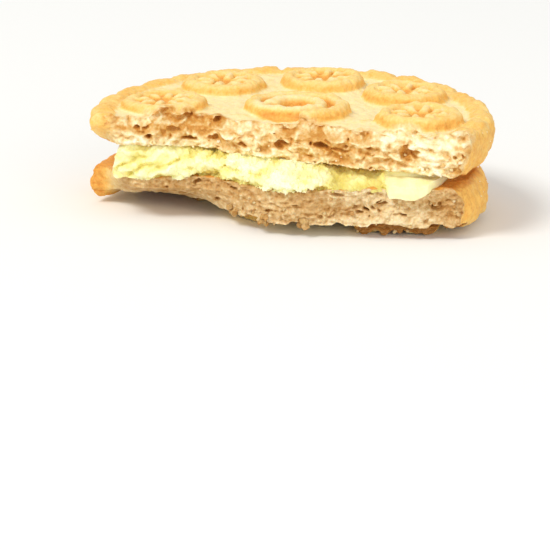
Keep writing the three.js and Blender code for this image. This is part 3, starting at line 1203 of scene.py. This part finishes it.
@dataclass
class Biscuit:
    """One embossed biscuit: a fluted rim, a recessed field and raised ornament, broken in front."""

    name: str
    cookie: Cookie
    face: Face
    tear: CrumbBreak
    bake: Bake
    lobes: int = 28
    lobe_turn: float = math.radians(3.2)
    steps_per_lobe: int = 10
    arc_steps: int = 6
    back_edge_inset: float = 1.5
    back_rounding: float = 0.9
    widest_height: float = 3.1
    crown_inset: float = 1.8
    rim_width: float = 3.4
    crown_width: float = 1.0
    groove_depth: float = 0.75
    groove_dip: float = 0.4
    rosettes: int = 6
    rosette_start: float = math.radians(-17)
    rosette_pitch: float = math.radians(46.5)
    rosette_circle: float = 16.25
    rosette_radius: float = 5.4
    rosette_sink: float = 0.3
    rosette_crown: float = 3.9
    rosette_corners: int = 60
    dish_radius: float = 3.1
    dish_depth: float = 1.0
    petals: int = 8
    petal_size: Triple = (1.5, 0.65, 1.0)
    petal_circle: float = 2.5
    scroll_ridge: float = 1.05
    scroll_outer: float = 5.7
    scroll_inner: float = 3.1
    scroll_end: float = math.radians(-84)
    scroll_turn: float = math.radians(620)
    scroll_step: Span = (math.radians(230), math.radians(330))
    scroll_steps: int = 120
    scroll_offset: float = 0.4
    dough: tuple[Span, ...] = ((5.0, 0.35), (1.6, 0.4), (0.8, 0.2), (0.45, 0.12))
    browning: Browning = Browning()
    face_pale: float = 0.4
    face_pale_depth: float = 1.6
    back_pale: float = 0.0
    back_pale_fade: Span = (0.5, 2.0)
    skin_tint: float = 0.7
    skin_fade: Span = (0.4, 4.0)
    worn_toast: float = 0.0
    voxel: float = 0.25
    softening: int = 6
    sharp: float = math.radians(55)

    @property
    def foot_radius(self) -> float:
        """Where the rim meets the field."""
        return self.cookie.disc_radius - self.rim_width

    @property
    def crown_radius(self) -> float:
        """Where the rim is highest."""
        return self.cookie.disc_radius - self.crown_inset

    @property
    def dish_height(self) -> float:
        """Height of the floor of a rosette's dish."""
        return self.cookie.thickness - self.dish_depth

    @property
    def rosette_turns(self) -> list[float]:
        """Angle of each rosette about the disc's axis."""
        return [self.rosette_start + index * self.rosette_pitch for index in range(self.rosettes)]

    def profile(self) -> list[Span]:
        """Half section of the plain biscuit, from its back's edge over the rim to the field.

        Returns:
            Pairs of radius and height.
        """
        disc = self.cookie.disc_radius
        crown, top = self.crown_radius, self.cookie.crown_height
        foot = (self.foot_radius, self.cookie.field_height)
        points = [(disc - self.back_edge_inset, 0.0)]
        points += arc(points[-1], (disc, self.back_rounding), (disc, self.widest_height), self.arc_steps)
        points += arc(points[-1], (disc, top), (crown, top), self.arc_steps)
        points += arc(points[-1], (crown - self.crown_width, top), foot, self.arc_steps)
        return points

    def blank(self) -> Piece:
        """Models the plain biscuit: a disc drawn up through its section, then fluted.

        Returns:
            The biscuit without its ornament.
        """
        blank = draw_up(self.profile(), self.lobes * self.steps_per_lobe)
        points = read_points(blank)
        radius = np.hypot(points[:, 0], points[:, 1])
        angle = np.arctan2(points[:, 1], points[:, 0])
        groove = 1 - np.sqrt(np.abs(np.sin(self.lobes * angle / 2)))
        rim_share = smoothstep(radius, self.foot_radius, self.crown_radius)
        height_share = (1 + points[:, 2] / self.cookie.crown_height) / 2
        scale = 1 - self.groove_depth * groove * rim_share * height_share / radius
        points[:, :2] *= scale[:, None]
        above = np.maximum(points[:, 2] - self.cookie.field_height, 0)
        points[:, 2] -= above * self.groove_dip * groove
        write_points(blank, points)
        place(blank, Vector(), (0, 0, self.lobe_turn))
        return blank

    def rosette(self) -> Piece:
        """Models one rosette at angle 0: a button with a dished top, and petals in the dish.

        Returns:
            The rosette, its origin on the disc's axis.
        """
        foot = (self.rosette_radius, self.cookie.field_height - self.rosette_sink)
        crown = (self.rosette_crown, self.cookie.thickness)
        profile = [foot] + arc(foot, (self.rosette_radius, self.cookie.thickness), crown, self.arc_steps)
        profile.append((self.dish_radius, self.dish_height))
        button = draw_up(profile, self.rosette_corners)
        pieces = [button]
        for index in range(self.petals):
            turn = index / self.petals * 2 * math.pi
            across, back = self.petal_circle * math.cos(turn), self.petal_circle * math.sin(turn)
            deselect()
            bpy.ops.mesh.primitive_uv_sphere_add(
                segments=20, ring_count=12, radius=1, location=(across, back, self.dish_height),
                rotation=(0, 0, turn), scale=self.petal_size)
            pieces.append(bpy.context.object)
        pick(*pieces)
        bpy.ops.object.join()
        place(button, Vector((self.rosette_circle, 0, 0)))
        return button

    def scroll(self) -> Piece:
        """Models the scroll in the middle: one round ridge, a wide loop that moves in to a narrow one.

        Returns:
            The ridge as a mesh.
        """
        deselect()
        curve = bpy.data.curves.new("scroll", "CURVE")
        curve.dimensions = "3D"
        curve.bevel_depth = self.scroll_ridge
        curve.bevel_resolution = 5
        curve.use_fill_caps = True
        line = curve.splines.new("POLY")
        line.points.add(self.scroll_steps)
        turns = np.linspace(0, self.scroll_turn, self.scroll_steps + 1)
        inward = smoothstep(turns, *self.scroll_step)
        radii = self.scroll_outer + (self.scroll_inner - self.scroll_outer) * inward
        for point, turn, radius in zip(line.points, turns + self.scroll_end, radii):
            across = self.scroll_offset + radius * math.cos(turn)
            point.co = (across, radius * math.sin(turn), self.cookie.thickness - self.scroll_ridge, 1)
        ridge = bpy.data.objects.new("scroll", curve)
        bpy.context.scene.collection.objects.link(ridge)
        pick(ridge)
        bpy.ops.object.convert(target="MESH")
        return bpy.context.object

    def emboss(self) -> list[Piece]:
        """Models the ornament: the scroll, and the rosette copied round it.

        Returns:
            The ornament's parts, each a mesh of its own.
        """
        first = self.rosette()
        parts = [self.scroll(), first]
        for turn in self.rosette_turns[1:]:
            pick(first)
            bpy.ops.object.duplicate()
            copy = bpy.context.object
            place(copy, Vector(), (0, 0, turn))
            parts.append(copy)
        place(first, Vector(), (0, 0, self.rosette_start))
        return parts

    def whole(self) -> Piece:
        """Models the biscuit before it is broken: its parts melted into one, uneven like baked dough.

        Returns:
            The biscuit, face up or down, with its bake, on the level Z = 0.
        """
        parts = self.emboss()
        piece = self.blank()
        pick(piece, *parts)
        bpy.ops.object.join()
        melt(piece, self.voxel, self.softening)
        ruffle(piece, self.dough)
        if self.face is Face.DOWN:
            place(piece, Vector((0, 0, self.cookie.thickness)), (0, math.pi, 0))
        points = read_points(piece)
        points[:, 2] *= self.bake.swell(points[:, 0])
        points[:, 2] = np.maximum(points[:, 2], 0)
        write_points(piece, points)
        return piece

    def face_height(self, points: Values) -> Values:
        """How far points lie from the flat back towards the embossed face, as before the bake."""
        height = points[:, 2] / self.bake.swell(points[:, 0])
        return self.cookie.thickness - height if self.face is Face.DOWN else height

    def inside_ornament(self, points: Values) -> Values:
        """Share of each point that lies in the dish of a rosette or within the scroll.

        Args:
            points: One row of x, y, z for each point of the biscuit before it is placed.

        Returns:
            From 0 outside to 1 inside.
        """
        side = -1 if self.face is Face.DOWN else 1
        across, back = side * points[:, 0], points[:, 1]
        away = np.hypot(across - self.scroll_offset, back) - self.scroll_outer
        for turn in self.rosette_turns:
            from_x = across - self.rosette_circle * math.cos(turn)
            from_y = back - self.rosette_circle * math.sin(turn)
            away = np.minimum(away, np.hypot(from_x, from_y) - self.rosette_crown)
        return 1 - smoothstep(away, *self.browning.dish_edge)

    def toast(self, piece: Piece) -> Values:
        """How brown the crust is: least in the field, more on the ornament, most on flanks, rim and back;
        the brown on flanks and in dishes is painted shade, and on the back partly painted shade.

        Args:
            piece: The biscuit before it is placed.

        Returns:
            From 0, pale, to 1, well browned.
        """
        brown = self.browning
        points = read_points(piece)
        steep = 1 - np.abs(read_normals(piece)[:, 2])
        height = self.face_height(points)
        radius = np.hypot(points[:, 0], points[:, 1])
        low, high = self.cookie.field_height, self.cookie.thickness
        # Painted shade on the ornament's flanks, more where they are steep.
        flank = smoothstep(height, low + brown.flank_foot[0], low + brown.flank_foot[1])
        flank = flank * (1 - smoothstep(height, low + brown.flank_top[0], high + brown.flank_top[1]))
        face = brown.crown * smoothstep(height, low + brown.crown_fade[0], high + brown.crown_fade[1])
        face += flank * (brown.flank + brown.steep * smoothstep(steep, *brown.steep_fade))
        # Painted shade in the dishes and within the scroll.
        dish_share = smoothstep(height, high + brown.dish_fade[0], high + brown.dish_fade[1])
        dish = brown.dish - brown.dish_less * dish_share
        face += (dish - face) * self.inside_ornament(points)
        rim = smoothstep(radius, self.foot_radius, self.crown_radius + brown.side_margin)
        crown_share = smoothstep(height, brown.side_height, self.cookie.crown_height)
        side = rim * (brown.side - brown.side_less * crown_share)
        # The back browns in the oven, and its full brown is also painted shade for the gap between the
        # biscuits.
        back = 1.0 - smoothstep(height, *brown.back_fade)
        return np.maximum(np.maximum(face, side), back)

    def colour(self, piece: Piece, torn: Values, depth: Values) -> None:
        """Stores what the material reads: where the crumb lies open, its painted shade and the crust's
        browning, which holds painted shade too.

        Args:
            piece: The broken biscuit before it is placed.
            torn: How far each corner lies on the break.
            depth: Its painted shade there, as a depth.
        """
        points = read_points(piece)
        within = self.cookie.disc_radius - np.hypot(points[:, 0], points[:, 1])
        skin = 1 - smoothstep(within, *self.skin_fade)
        fresh = self.tear.fresh(points[:, 0])
        height = self.face_height(points)
        top = self.cookie.field_height
        pale = self.face_pale * smoothstep(height, top - self.face_pale_depth, top)
        pale += self.back_pale * (1 - smoothstep(height, *self.back_pale_fade))
        store(piece, "torn", torn * fresh)
        store(piece, "depth", depth + (self.skin_tint * skin - pale) * torn)
        store(piece, "toast", self.toast(piece) + self.worn_toast * torn * (1 - fresh))

    def build(self, finish: Material) -> Piece:
        """Models the biscuit, breaks it, dresses it and puts it in its place.

        Args:
            finish: The biscuit's material.

        Returns:
            The finished piece.
        """
        piece = self.whole()
        piece.name = f"baked_{self.name}"
        piece.data.name = piece.name
        torn, depth = self.tear.cut(piece)
        self.colour(piece, torn, depth)
        cookie = self.cookie
        if self.face is Face.UP:
            spot = Vector((cookie.upper_shift, 0, cookie.thickness + cookie.cream_gap))
            place(piece, spot, (cookie.upper_pitch, cookie.upper_tilt, 0))
        place(piece, cookie.axis(), scale=METRES)
        dress(piece, finish, self.sharp)
        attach(piece, BODY)
        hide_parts(self.name)
        return piece


@dataclass
class CreamLayer:
    """Lemon cream between the flat backs of the biscuits, torn in front."""

    cookie: Cookie
    tear: CreamTear
    name: str = "lemon_cream"
    corners: int = 180
    bulge: float = 0.5
    bulge_steps: int = 5
    wander: float = 0.6
    waves: int = 5
    ripple: Wave = Wave(0.18, 4.0, 1.4)
    pressed: float = 0.14
    voxel: float = 0.24
    softening: int = 2
    lumps: tuple[Span, ...] = ((1.2, 0.75), (0.55, 0.65), (0.28, 0.42))
    lump_levels: int = 10
    facet_calm: float = 0.9
    hollow_calm: float = 0.35
    smeared_calm: float = 0.35
    left_lean: float = 1.0
    left_fade: Span = (15.0, 21.0)
    free_fade: Span = (0.1, 0.7)
    droop: float = 0.8
    droop_power: float = 1.5
    lip_places: Row = (11.9, 12.2, 15.2, 17.6)
    lip_shares: Row = (0.0, 0.85, 1.05, 0.0)
    drip: Wave = Wave(0.25, 1.1)
    sharp: float = math.radians(60)

    def disc(self) -> Piece:
        """Models the whole layer: a disc with a round, wandering edge, pressed on both biscuits.

        Returns:
            The layer before it is torn.
        """
        gap = self.cookie.cream_gap
        deselect()
        bpy.ops.mesh.primitive_cylinder_add(
            vertices=self.corners, radius=self.cookie.cream_radius, depth=gap, location=(0, 0, gap / 2))
        disc = bpy.context.object
        place(disc, disc.location.copy())
        start_edit()
        bpy.ops.mesh.bevel(offset=self.bulge, segments=self.bulge_steps, affect="EDGES")
        bpy.ops.object.mode_set(mode="OBJECT")
        melt(disc, self.voxel, self.softening)
        points = read_points(disc)
        angle = np.arctan2(points[:, 1], points[:, 0])
        grain = Grain(self.tear.seed + Table.CREAM_EDGE)
        ripple = grain.waves(angle * self.cookie.cream_radius, points[:, 2], self.ripple)
        wander = self.wander * np.sin(self.waves * angle) * np.cos(angle) + ripple
        points[:, :2] *= (1 + wander / self.cookie.cream_radius)[:, None]
        bottom = self.cookie.lower_back(points[:, 0]) - self.pressed
        top = self.cookie.upper_back(points[:, 0], points[:, 1]) + self.pressed
        rise = np.clip(points[:, 2] / gap, 0, 1)
        points[:, 2] = bottom + (top - bottom) * rise
        points[:, 0] += self.left_lean * rise * smoothstep(-points[:, 0], *self.left_fade)
        write_points(disc, points)
        return disc

    def curdle(self, piece: Piece, torn: Values) -> None:
        """Raises chalky lumps on the torn face.

        Args:
            piece: The torn layer.
            torn: How far each corner lies on the torn face.
        """
        across = read_points(piece)[:, 0]
        calm = self.facet_calm * self.tear.facet_share(across)
        calm += self.hollow_calm * self.tear.hollow_share(across)
        calm += self.smeared_calm * self.tear.smeared_share(across)
        shares = torn * np.clip(1 - calm, 0, 1)
        lumpy = piece.vertex_groups.new(name="lumpy")
        for level in range(1, self.lump_levels + 1):
            chosen = np.flatnonzero(np.round(shares * self.lump_levels) == level)
            lumpy.add(chosen.tolist(), level / self.lump_levels, "REPLACE")
        ruffle(piece, self.lumps, lumpy.name)
        piece.vertex_groups.clear()

    def sag(self, piece: Piece) -> None:
        """Lets the cream that stands in front of the lower biscuit hang over its edge.

        Args:
            piece: The torn layer.
        """
        points = read_points(piece)
        across = points[:, 0]
        free = smoothstep(self.tear.lower.edge(across) - points[:, 1], *self.free_fade)
        bottom = self.cookie.lower_back(across)
        low_share = 1 - np.clip((points[:, 2] - bottom) / self.cookie.cream_gap, 0, 1)
        lip = self.droop * np.interp(across, self.lip_places, self.lip_shares)
        drips = Grain(self.tear.seed + Table.DRIPS).waves(across, 0 * across, self.drip)
        points[:, 2] -= free * low_share ** self.droop_power * (lip + np.maximum(drips, 0))
        write_points(piece, points)

    def build(self, finish: Material) -> Piece:
        """Models the layer, tears it, dresses it and puts it in its place.

        Args:
            finish: The cream's material.

        Returns:
            The finished piece.
        """
        piece = self.disc()
        piece.name = f"torn_{self.name}"
        piece.data.name = piece.name
        torn, depth = self.tear.cut(piece)
        # The depth holds painted shade for the creases and the hollow.
        store(piece, "depth", depth)
        self.curdle(piece, torn)
        self.sag(piece)
        place(piece, self.cookie.axis(), scale=METRES)
        dress(piece, finish, self.sharp)
        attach(piece, BODY)
        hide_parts(self.name)
        return piece


@dataclass(frozen=True)
class Scatter:
    """Which corners of a biscuit crumbs cling to, and how large they are, in millimetres."""

    ground: str
    count: int
    sizes: Span
    across: Span
    upward: Span
    torn: Span
    tones: Span


FRESH = (0.95, 1.0)  # corners on the break
CRUST = (0.0, 0.05)  # corners that are not on it
GOLDEN_CRUMBS_AND_GLINTS = (
    Scatter("upper_biscuit", 40, (0.1, 0.3), (-20.0, 22.0), (7.0, 10.0), FRESH, (-0.5, 0.5)),
    # Pale flecks on both rims: sugar grains, and also painted glints.
    Scatter("upper_biscuit", 22, (0.06, 0.12), (23.0, 26.0), (7.5, 13.0), CRUST, (-0.8, 0.0)),
    Scatter("lower_biscuit", 22, (0.06, 0.12), (23.0, 26.0), (1.0, 5.5), CRUST, (-0.8, 0.0)),
)
HANGING_CRUMBS = (
    Scatter("lower_biscuit", 34, (0.12, 0.32), (-12.0, 22.0), (0.3, 5.0), FRESH, (0.0, 0.8)),
    Scatter("lower_biscuit", 9, (0.3, 0.5), (-7.0, -6.0), (1.3, 2.2), FRESH, (0.2, 0.9)),
    Scatter("lower_biscuit", 9, (0.35, 0.6), (-3.3, -2.5), (1.3, 2.2), FRESH, (0.2, 0.9)),
    Scatter("lower_biscuit", 9, (0.3, 0.55), (1.6, 2.4), (1.3, 2.2), FRESH, (0.2, 0.9)),
)


@dataclass
class LooseCrumbs:
    """Crumbs that cling to the breaks and the rims, each sunk a little into what it lies on; the pale
    flecks on the rims also stand in for glints, as painted highlight.
    """

    cookie: Cookie
    name: str
    seed: int
    scatters: tuple[Scatter, ...]
    roughness: float = 0.35
    sunk: float = 0.25
    flattest: float = 0.6
    sharp: float = math.radians(50)

    def lump(self) -> tuple[Values, Values]:
        """Models one crumb of radius 1.

        Returns:
            Its corners and its triangles.
        """
        deselect()
        bpy.ops.mesh.primitive_ico_sphere_add(subdivisions=2, radius=1)
        ball = bpy.context.object
        points = read_points(ball)
        corners = np.zeros(len(ball.data.polygons) * 3, dtype=int)
        ball.data.polygons.foreach_get("vertices", corners)
        bpy.data.meshes.remove(ball.data)
        return points, corners.reshape(-1, 3)

    def spots(self, piece: Piece, scatter: Scatter, random: np.random.Generator) -> tuple[Values, Values]:
        """Chooses where crumbs lie on a piece.

        Args:
            piece: The finished piece.
            scatter: Which of its corners are chosen from.
            random: The seeded source of chance.

        Returns:
            Places in metres, and the directions that the surface faces there.
        """
        points = read_points(piece)
        torn = np.zeros(len(points))
        piece.data.attributes["torn"].data.foreach_get("value", torn)
        local = (points - np.array(self.cookie.axis())) / METRES
        allowed = (local[:, 0] > scatter.across[0]) & (local[:, 0] < scatter.across[1])
        allowed &= (local[:, 2] > scatter.upward[0]) & (local[:, 2] < scatter.upward[1])
        allowed &= (torn >= scatter.torn[0]) & (torn <= scatter.torn[1])
        chosen = random.choice(np.flatnonzero(allowed), scatter.count, replace=False)
        return points[chosen], read_normals(piece)[chosen]

    def build(self, grounds: dict[str, Piece], finish: Material) -> Piece:
        """Models the crumbs as one mesh.

        Args:
            grounds: The pieces that crumbs cling to, by the names that the scatters use.
            finish: The biscuit's material.

        Returns:
            The finished piece.
        """
        random = np.random.default_rng(self.seed)
        base, corners = self.lump()
        points, faces, tones = [], [], []
        for scatter in self.scatters:
            for spot, normal in zip(*self.spots(grounds[scatter.ground], scatter, random)):
                size = METRES * random.uniform(*scatter.sizes)
                uneven = 1 + self.roughness * random.uniform(-1, 1, (len(base), 1))
                turn = np.array(Euler(random.uniform(0, 2 * math.pi, 3)).to_matrix())
                shape = (base * uneven * random.uniform(self.flattest, 1.0, 3)) @ turn.T
                faces.append(corners + len(base) * len(points))
                points.append(spot + size * (normal * (1 - self.sunk) * self.flattest + shape))
                tones.append(np.full(len(base), random.uniform(*scatter.tones)))
        mesh = bpy.data.meshes.new(self.name)
        mesh.from_pydata(np.concatenate(points).tolist(), [], np.concatenate(faces).tolist())
        piece = bpy.data.objects.new(self.name, mesh)
        bpy.context.scene.collection.objects.link(piece)
        shades = np.concatenate(tones)
        store(piece, "torn", np.ones(len(shades)))
        store(piece, "depth", shades)
        store(piece, "toast", np.zeros(len(shades)))
        dress(piece, finish, self.sharp)
        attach(piece, BODY)
        return piece


# The studio


@dataclass(frozen=True)
class Lamp:
    """A soft square light: where it stands and how wide it is, in metres, its strength and its colour."""

    name: str
    spot: Triple
    width: float
    watts: float
    code: str


@dataclass
class Studio:
    """Pale floor, soft lights and the camera, at the picture's own viewing angle."""

    cookie: Cookie
    picture_width: int = 550
    focal_pixels: float = 2817.0
    sensor_mm: float = 36.0
    distance: float = 0.35
    elevation: float = math.radians(13.0)
    roll: float = math.radians(0.5)
    aim_height: float = 0.0068
    aim_right_pixels: float = 12.5
    aim_up_pixels: float = 116.5
    floor_size: float = 8.0
    lamps: tuple[Lamp, ...] = (
        Lamp("key", (-0.75, -0.5, 1.15), 0.5, 10.6, "#fffdf8"),
        Lamp("fill", (0.5, -1.2, 0.35), 0.9, 5.0, "#ffffff"),
    )
    surround: float = 0.66
    surround_code: str = "#ffffff"

    def camera(self) -> None:
        """Adds the camera, which sees the cookie's front above the picture's middle."""
        aim = self.cookie.axis() + Vector((0, 0, self.aim_height))
        toward = Vector((0, -math.cos(self.elevation), math.sin(self.elevation)))
        data = bpy.data.cameras.new("camera")
        data.sensor_width = self.sensor_mm
        data.lens = self.focal_pixels / self.picture_width * self.sensor_mm
        camera = bpy.data.objects.new("camera", data)
        bpy.context.scene.collection.objects.link(camera)
        right = Vector((1, 0, 0))
        basis = Matrix((right, toward.cross(right), toward)).transposed()
        lean = Matrix.Rotation(self.roll, 3, "Z")
        left = Matrix.Rotation(math.atan(self.aim_right_pixels / self.focal_pixels), 3, "Y")
        down = Matrix.Rotation(-math.atan(self.aim_up_pixels / self.focal_pixels), 3, "X")
        camera.matrix_world = Matrix.Translation(aim + toward * self.distance) @ (
            basis @ lean @ left @ down).to_4x4()
        bpy.context.scene.camera = camera

    def light(self, lamp: Lamp) -> None:
        """Adds a light that shines on the cookie.

        Args:
            lamp: Its place, width, strength and colour.
        """
        data = bpy.data.lights.new(lamp.name, "AREA")
        data.size = lamp.width
        data.energy = lamp.watts
        data.color = srgb(lamp.code)[:3]
        light = bpy.data.objects.new(lamp.name, data)
        light.location = lamp.spot
        light.rotation_euler = (Vector(lamp.spot) - self.cookie.axis()).to_track_quat("Z", "Y").to_euler()
        bpy.context.scene.collection.objects.link(light)

    def build(self, paper: Material) -> None:
        """Adds the floor, the lights, the surrounding light and the camera.

        Args:
            paper: The floor's material.
        """
        deselect()
        bpy.ops.mesh.primitive_plane_add(size=self.floor_size)
        floor = bpy.context.object
        floor.name = "floor"
        floor.data.materials.append(paper)
        for lamp in self.lamps:
            self.light(lamp)
        world = bpy.data.worlds.new("soft surround")
        world.use_nodes = True
        background = world.node_tree.nodes["Background"]
        background.inputs["Color"].default_value = srgb(self.surround_code)
        background.inputs["Strength"].default_value = self.surround
        bpy.context.scene.world = world
        bpy.context.scene.view_settings.view_transform = "Standard"
        self.camera()


def report(piece: Piece) -> None:
    """Reports a finished piece."""
    piece.data.calc_loop_triangles()
    log.info("%s has %d triangles", piece.name, len(piece.data.loop_triangles))


def main() -> None:
    """Builds the pieces in order and reports each."""
    logging.basicConfig(level=logging.INFO, format="%(name)s: %(message)s")
    cookie = Cookie()
    golden, dull = ShortBiscuit().material(), DullShortBiscuit().material()
    upper_break, lower_break = UpperBreak(cookie), LowerBreak(cookie)
    cream_tear = CreamTear(cookie, lower=lower_break, upper=upper_break)
    lower = Biscuit("lower_biscuit", cookie, Face.DOWN, lower_break, cookie.lower_bake,
                    skin_tint=0.35, worn_toast=0.18).build(dull)
    report(lower)
    report(CreamLayer(cookie, cream_tear).build(LemonFatCream().material()))
    upper = Biscuit("upper_biscuit", cookie, Face.UP, upper_break, cookie.upper_bake,
                    face_pale=0.2, back_pale=0.3, worn_toast=-0.2).build(golden)
    report(upper)
    grounds = {"lower_biscuit": lower, "upper_biscuit": upper}
    report(LooseCrumbs(cookie, "golden_crumbs_and_glints", 51, GOLDEN_CRUMBS_AND_GLINTS).build(grounds, golden))
    report(LooseCrumbs(cookie, "hanging_crumbs", 52, HANGING_CRUMBS).build(grounds, dull))
    Studio(cookie).build(MattPaper().material())


if __name__ == "__main__":
    main()
